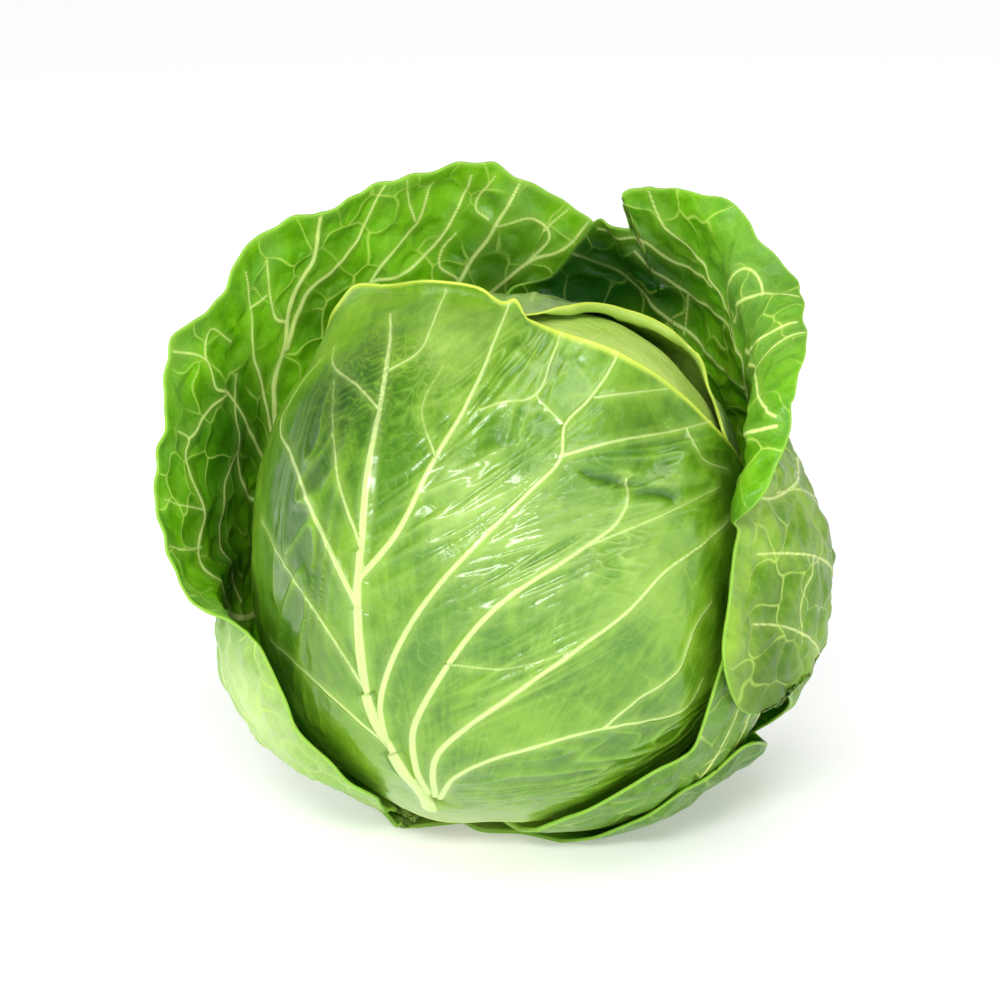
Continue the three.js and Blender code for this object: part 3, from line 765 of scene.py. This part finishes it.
class Graph:
    """Short calls for building one material's nodes."""

    def __init__(self, name):
        self.material = bpy.data.materials.new(name)
        self.material.use_nodes = True
        self.nodes = self.material.node_tree.nodes
        self.links = self.material.node_tree.links
        self.shader = self.nodes["Principled BSDF"]
        self.place = self.nodes.new("ShaderNodeTexCoord").outputs["Object"]

    def put(self, socket, value):
        if isinstance(value, bpy.types.NodeSocket):
            self.links.new(value, socket)
        else:
            socket.default_value = value

    def shade(self, name, value):
        self.put(self.shader.inputs[name], value)

    def attribute(self, name):
        node = self.nodes.new("ShaderNodeAttribute")
        node.attribute_name = name
        return node.outputs["Fac"]

    def noise(self, scale, detail=3.0, at=None):
        node = self.nodes.new("ShaderNodeTexNoise")
        node.inputs["Scale"].default_value = scale
        node.inputs["Detail"].default_value = detail
        self.links.new(at or self.place, node.inputs["Vector"])
        return node.outputs["Fac"]

    def cells(self, scale):
        """The distance from the walls of small cells."""
        node = self.nodes.new("ShaderNodeTexVoronoi")
        node.feature = "DISTANCE_TO_EDGE"
        node.inputs["Scale"].default_value = scale
        self.links.new(self.place, node.inputs["Vector"])
        return node.outputs["Distance"]

    def vector(self, x, y):
        node = self.nodes.new("ShaderNodeCombineXYZ")
        self.put(node.inputs[0], x)
        self.put(node.inputs[1], y)
        return node.outputs[0]

    def math(self, operation, a, b):
        node = self.nodes.new("ShaderNodeMath")
        node.operation = operation
        self.put(node.inputs[0], a)
        self.put(node.inputs[1], b)
        return node.outputs[0]

    def times(self, *values):
        return functools.reduce(lambda a, b: self.math("MULTIPLY", a, b), values)

    def plus(self, *values):
        return functools.reduce(lambda a, b: self.math("ADD", a, b), values)

    def span(self, value, low, high, to_low=0.0, to_high=1.0):
        node = self.nodes.new("ShaderNodeMapRange")
        node.interpolation_type = "SMOOTHSTEP"
        self.put(node.inputs["Value"], value)
        ends = {"From Min": low, "From Max": high, "To Min": to_low, "To Max": to_high}
        for key, number in ends.items():
            node.inputs[key].default_value = number
        return node.outputs["Result"]

    def mix(self, factor, a, b):
        node = self.nodes.new("ShaderNodeMix")
        node.data_type = "RGBA"
        node.clamp_factor = True
        self.put(node.inputs["Factor"], factor)
        self.put(node.inputs[6], a)
        self.put(node.inputs[7], b)
        return node.outputs[2]

    def bump(self, height, distance):
        node = self.nodes.new("ShaderNodeBump")
        node.inputs["Distance"].default_value = distance
        self.put(node.inputs["Height"], height)
        self.links.new(node.outputs["Normal"], self.shader.inputs["Normal"])


def fan_lines(g):
    """Fine lines that run with the veins, from the foot of the blade outwards."""
    x = g.attribute("side_x")
    y = g.plus(g.attribute("side_y"), 140.0)
    angle = g.math("ARCTAN2", x, y)
    length = g.math("POWER", g.plus(g.times(x, x), g.times(y, y)), 0.5)
    return g.noise(1.0, 3, g.vector(g.times(angle, 60.0), g.times(length, 0.05)))


def leaf_material(name, look):
    """Waxy leaf: a blotched green blade, lighter at its foot, with whitish veins and a bloom. Its rim is
    brightened by painted light, as if light shone through the edge, and painted light and shade lie on it
    in places.
    """
    look = {key: linear(*value) if isinstance(value, tuple) else value for key, value in look.items()}
    g = Graph(name)
    small = g.noise(130, 4)
    speckle = g.noise(900, 2)
    lines = fan_lines(g)
    blotch = g.plus(g.times(g.noise(24, 3), 0.5), g.times(small, 0.3), g.times(lines, 0.2))
    outer = g.mix(g.span(blotch, 0.38, 0.62), look["dark"], look["light"])
    inner = g.mix(g.span(blotch, 0.38, 0.62), look["inner_dark"], look["inner_light"])
    blade = g.mix(g.attribute("inside"), outer, inner)
    # Painted light: the blade turns paler where the attribute is above zero, with a little random variation
    # added.
    light_and_shade = g.plus(g.attribute("light_and_shade"), g.times(g.plus(g.noise(60, 3), -0.5), 0.3))
    blade = g.mix(g.math("MAXIMUM", light_and_shade, 0.0), blade, look["pale_and_painted_light"])
    blade = g.mix(g.times(g.attribute("foot"), 1.1), blade, look["foot"])
    bloom = g.times(g.span(g.attribute("from_rim"), 0, 24, 1, 0), g.span(g.noise(45, 4), 0.42, 0.64))
    # The bloom fades where shade is painted.
    bloom = g.times(bloom, g.span(light_and_shade, -0.6, 0, 0, 1), look["bloom_amount"])
    blade = g.mix(bloom, blade, look["bloom"])
    fine = g.span(g.cells(230), 0.0, 0.08, 1.0, 0.0)
    blade = g.mix(g.times(fine, look["fine_net"]), blade, look["thin_vein"])
    # Painted shade: where the attribute is below zero, the blade darkens towards the shade colour, and
    # again over the veins further down.
    shade = g.math("MAXIMUM", g.times(light_and_shade, -1.0), 0.0)
    blade = g.mix(shade, blade, look["painted_shade"])
    gap = g.attribute("vein_gap")
    blade = g.mix(g.times(g.span(gap, 0, 3.5, 1, 0), look["halo"]), blade, look["thin_vein"])
    net = g.times(g.span(g.attribute("net_gap"), 0.15, 0.65, 1, 0), g.span(g.noise(38, 2), 0.36, 0.58))
    blade = g.mix(g.times(net, look["net"]), blade, look["thin_vein"])
    blade = g.mix(g.times(g.span(gap, -0.3, 0.35, 1, 0), look["veins"]), blade, look["vein"])
    # Painted light: a bright band along the rim stands for light shining through the thin edge.
    rim = g.span(g.attribute("from_rim"), 0.3, look["rim_glow_wide"], 1, 0)
    blade = g.mix(g.times(rim, 0.8), blade, look["rim"])
    blade = g.mix(g.times(shade, 0.75), blade, look["painted_shade"])
    g.shade("Base Color", blade)
    g.shade("Roughness", g.span(small, 0.3, 0.7, look["smooth"], look["rough"]))
    g.shade("Specular IOR Level", look["gloss"])
    g.shade("Coat Weight", look["coat"])
    g.shade("Coat Roughness", 0.2)
    g.shade("Subsurface Weight", look["soft"])
    g.shade("Subsurface Radius", (0.6, 1.0, 0.15))
    g.shade("Subsurface Scale", 0.0016)
    relief = g.plus(g.times(small, 0.4), g.times(speckle, 0.015), g.times(lines, look["lined"]))
    g.bump(g.plus(relief, g.times(fine, -0.03)), 0.0011)
    return g.material


# In each look the darkest green is the colour of painted shade, and the light colour mixed in by the spots
# is that of painted light and of the left leaf's light-coloured lower wall.
FRONT_LOOK = {
    "dark": (74, 128, 8), "light": (120, 168, 32),
    "inner_dark": (176, 206, 84), "inner_light": (204, 226, 104),
    "pale_and_painted_light": (176, 208, 108), "painted_shade": (24, 72, 4),
    "foot": (176, 204, 88), "vein": (204, 226, 140), "thin_vein": (160, 198, 78),
    "rim": (214, 234, 84), "bloom": (160, 196, 110), "bloom_amount": 0.2,
    "fine_net": 0.1, "halo": 0.35, "net": 0.16, "veins": 0.95, "lined": 0.12,
    "smooth": 0.3, "rough": 0.42, "gloss": 0.4, "coat": 0.6, "soft": 0.1, "rim_glow_wide": 2.4,
}
OUTER_LOOK = {
    "dark": (80, 132, 22), "light": (134, 180, 62),
    "inner_dark": (84, 154, 4), "inner_light": (124, 190, 14),
    "pale_and_painted_light": (196, 220, 146), "painted_shade": (14, 66, 2),
    "foot": (196, 218, 130), "vein": (224, 240, 150), "thin_vein": (190, 220, 100),
    "rim": (150, 196, 70), "bloom": (110, 152, 80), "bloom_amount": 0.45,
    "fine_net": 0.12, "halo": 0.16, "net": 0.75, "veins": 0.95, "lined": 0.05,
    "smooth": 0.32, "rough": 0.48, "gloss": 0.28, "coat": 0.0, "soft": 0.6, "rim_glow_wide": 1.2,
}
COLLAR_LOOK = {
    **OUTER_LOOK, "dark": (98, 146, 22), "light": (152, 194, 60),
    "pale_and_painted_light": (104, 150, 66), "bloom_amount": 0.25,
}
MIDDLE_LOOK = {**OUTER_LOOK, "dark": (60, 106, 14), "light": (102, 150, 40)}
# The under leaf is painted darker, as painted shade beneath the head, and its net shows less.
UNDER_SHADED_LOOK = {**OUTER_LOOK, "dark": (50, 92, 8), "light": (88, 134, 30), "net": 0.3}
INNER_LOOK = {
    **FRONT_LOOK, "dark": (126, 164, 84), "light": (164, 192, 112),
    "inner_dark": (176, 206, 90), "inner_light": (200, 224, 110),
    "net": 0.3, "lined": 0.08, "rim_glow_wide": 1.3,
}

FINISHES = {
    "inner_wrapper_leaf": ("wrapper_leaf", INNER_LOOK),
    "front_wrapper_leaf": ("wrapper_leaf", FRONT_LOOK),
    "lower_right_leaf": ("mid_leaf", MIDDLE_LOOK),
    "right_outer_leaf": ("outer_leaf", COLLAR_LOOK),
    "left_outer_leaf": ("outer_leaf", OUTER_LOOK),
    "under_leaf": ("outer_leaf", UNDER_SHADED_LOOK),
}

# -------------------- the heart and the stalk


def heart_material():
    """The outermost leaf of the tight heart."""
    g = Graph("heart_skin")
    small = g.noise(120, 4)
    fine = g.span(g.cells(120), 0.0, 0.06, 1.0, 0.0)
    blade = g.mix(g.span(g.noise(20, 3), 0.35, 0.65), linear(176, 210, 90), linear(206, 230, 120))
    blade = g.mix(g.times(fine, 0.4), blade, linear(214, 230, 150))
    g.shade("Base Color", blade)
    g.shade("Roughness", g.span(small, 0.3, 0.7, 0.28, 0.42))
    g.bump(small, 0.001)
    return g.material


def stalk_material():
    """Pale fibrous stalk: streaks down its side, and a ring of darker vessels on the cut face."""
    g = Graph("stalk_skin")
    small = g.noise(260, 4)
    ring = g.times(g.span(g.attribute("out"), 0.62, 0.72), g.span(g.attribute("out"), 0.78, 0.88, 1, 0))
    flesh = g.mix(g.span(small, 0.35, 0.65), linear(206, 216, 160), linear(226, 232, 188))
    flesh = g.mix(g.times(ring, 0.5), flesh, linear(164, 186, 104))
    dried = g.times(g.attribute("cut"), g.span(g.noise(140, 3), 0.45, 0.7))
    flesh = g.mix(g.times(dried, 0.6), flesh, linear(176, 158, 110))
    g.shade("Base Color", flesh)
    g.shade("Roughness", 0.6)
    g.bump(g.plus(small, g.times(ring, 0.3)), 0.0012)
    return g.material


def stalk_mesh():
    """A stub with a slightly domed, scored cut face."""
    turns = 96
    axis = unit(STALK_AXIS)
    side = unit(np.cross(axis, (0, 1, 0)))
    other = np.cross(axis, side)
    profile = [(0.05, STALK_INNER), (0.9, STALK_INNER), (1, STALK_INNER + 1)]
    profile += [(1, h) for h in np.linspace(STALK_INNER + 2, STALK_CUT - 1.2, 12)]
    profile += [(0.97, STALK_CUT - 0.4)] + [(o, STALK_CUT) for o in np.linspace(0.92, 0.05, 14)]
    out = np.array([p[0] for p in profile])[:, None]
    down = np.array([p[1] for p in profile])[:, None]
    turn = np.linspace(0, 2 * math.pi, turns, endpoint=False)[None]
    ridged = 0.25 * np.sin(11 * turn) * smoothstep(out, 0.9, 1)
    scored = 0.25 * np.sin(3 * turn + 9 * out) * smoothstep(down, STALK_CUT - 0.3, STALK_CUT)
    r = (STALK_RADIUS - 0.3 + ridged) * out
    p = (down - 0.2 - np.abs(scored))[..., None] * axis
    p = p + (r * np.cos(turn))[..., None] * side + (r * np.sin(turn))[..., None] * other
    k = np.arange(p.shape[0] * turns).reshape(-1, turns)
    k2 = np.roll(k, -1, axis=1)
    quads = np.stack([k[:-1], k2[:-1], k2[1:], k[1:]], axis=-1).reshape(-1, 4)
    caps = [k[0][::-1].reshape(1, -1), k[-1].reshape(1, -1)]
    cut = smoothstep(down, STALK_CUT - 0.5, STALK_CUT) * np.ones_like(turn)
    attributes = {"out": (out * np.ones_like(turn)).ravel(), "cut": cut.ravel()}
    return mesh_object("stalk_fine", to_world(p.reshape(-1, 3)), [quads] + caps, attributes)


def heart_mesh():
    """A closed, slightly uneven ball."""
    turns, rows = 240, 120
    theta = np.linspace(0, math.pi, rows + 1)[1:-1]
    phi = np.linspace(0, 2 * math.pi, turns, endpoint=False)
    t, p = np.meshgrid(theta, phi, indexing="ij")
    d = np.stack([np.sin(t) * np.cos(p), np.sin(t) * np.sin(p), np.cos(t)], axis=-1)
    r = heart_radius(d) + 0.3 * ripples(d * HEART_ACROSS, 26, 3)
    poles = np.array([[0, 0, HEART_ABOVE], [0, 0, -HEART_BELOW]])
    vertices = np.concatenate([(d * r[..., None]).reshape(-1, 3), poles])
    k = np.arange(len(theta) * turns).reshape(-1, turns)
    k2 = np.roll(k, -1, axis=1)
    quads = np.stack([k[:-1], k[1:], k2[1:], k2[:-1]], axis=-1).reshape(-1, 4)
    top, bottom = np.full(turns, k.size), np.full(turns, k.size + 1)
    fans = [np.stack([top, k[0], k2[0]], axis=-1), np.stack([bottom, k2[-1], k[-1]], axis=-1)]
    return mesh_object("heart_fine", to_world(vertices), [quads] + fans, {})


# -------------------- assembly


def place(obj, node, material):
    obj.data.materials.append(material)
    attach(obj, "root")
    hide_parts(node)


for number, _ in enumerate(LEAVES):
    prepare(number)
for number, leaf in enumerate(LEAVES):
    name = leaf["name"]
    slot, look = FINISHES[name]
    place(leaf_mesh(number), name, leaf_material(name + "_skin", look))
place(heart_mesh(), "heart", heart_material())
place(stalk_mesh(), "stalk", stalk_material())

# -------------------- floor, light and camera


def floor():
    """A white table. It glows a little far from the head, so that it stays white past the lamps."""
    bpy.ops.mesh.primitive_plane_add(size=40)
    plane = bpy.context.object
    plane.name = "floor"
    g = Graph("floor")
    length = g.nodes.new("ShaderNodeVectorMath")
    length.operation = "LENGTH"
    g.links.new(g.place, length.inputs[0])
    g.shade("Base Color", (0.94, 0.94, 0.94, 1))
    g.shade("Roughness", 0.9)
    g.shade("Specular IOR Level", 0.0)
    g.shade("Emission Color", (1, 1, 1, 1))
    g.shade("Emission Strength", g.span(length.outputs["Value"], 0.12, 0.8, 0.3, 0.7))
    plane.data.materials.append(g.material)


def lamp(name, place_at, aim, size, power, seen=True):
    """A soft box of the given width and height, which shows in glossy leaves or not."""
    data = bpy.data.lights.new(name, "AREA")
    data.shape = "RECTANGLE"
    data.size, data.size_y = size
    data.energy = power
    box = bpy.data.objects.new(name, data)
    box.location = place_at
    box.visible_glossy = seen
    box.rotation_euler = (Vector(aim) - Vector(place_at)).to_track_quat("-Z", "Y").to_euler()
    bpy.context.scene.collection.objects.link(box)


def sky(low, high):
    """An even sky, brighter near the horizon so that it meets the white floor."""
    world = bpy.data.worlds.new("studio")
    world.use_nodes = True
    nodes, links = world.node_tree.nodes, world.node_tree.links
    background = nodes["Background"]
    background.inputs["Color"].default_value = (1, 1, 1, 1)
    towards = nodes.new("ShaderNodeTexCoord").outputs["Generated"]
    split = nodes.new("ShaderNodeSeparateXYZ")
    links.new(towards, split.inputs[0])
    ramp = nodes.new("ShaderNodeMapRange")
    links.new(split.outputs["Z"], ramp.inputs["Value"])
    for key, value in {"From Min": 0.14, "From Max": 0.3, "To Min": low, "To Max": high}.items():
        ramp.inputs[key].default_value = value
    links.new(ramp.outputs["Result"], background.inputs["Strength"])
    bpy.context.scene.world = world


def camera():
    """Looks at the head from the front and 16 degrees above."""
    elevation = math.radians(16)
    distance = 0.96
    forward = Vector((0, math.cos(elevation), -math.sin(elevation)))
    upward = Vector((0, math.sin(elevation), math.cos(elevation)))
    target = Vector(MIDDLE) + upward * 0.0191
    data = bpy.data.cameras.new("camera")
    data.lens = 99.6
    data.sensor_width = 36
    view = bpy.data.objects.new("camera", data)
    view.location = target - forward * distance
    view.rotation_euler = forward.to_track_quat("-Z", "Y").to_euler()
    bpy.context.scene.collection.objects.link(view)
    bpy.context.scene.camera = view


floor()
lamp("key", (-0.1, -0.9, 0.68), (0, 0, 0.11), (0.4, 0.16), 6.6)
lamp("side", (-0.95, 0.25, 0.95), (0, 0, 0.1), (0.8, 0.8), 1.6, seen=False)
lamp("fill", (0.7, -0.95, 0.45), (0, 0, 0.1), (0.8, 0.8), 1.4)
lamp("back", (-1.0, 0.3, 0.42), (-0.03, 0, 0.13), (0.5, 0.5), 6, seen=False)
lamp("top", (0.3, -0.4, 1.0), (0, 0, 0.1), (0.5, 0.5), 3)
sky(1.0, 0.24)
camera()
bpy.context.scene.view_settings.view_transform = "Standard"
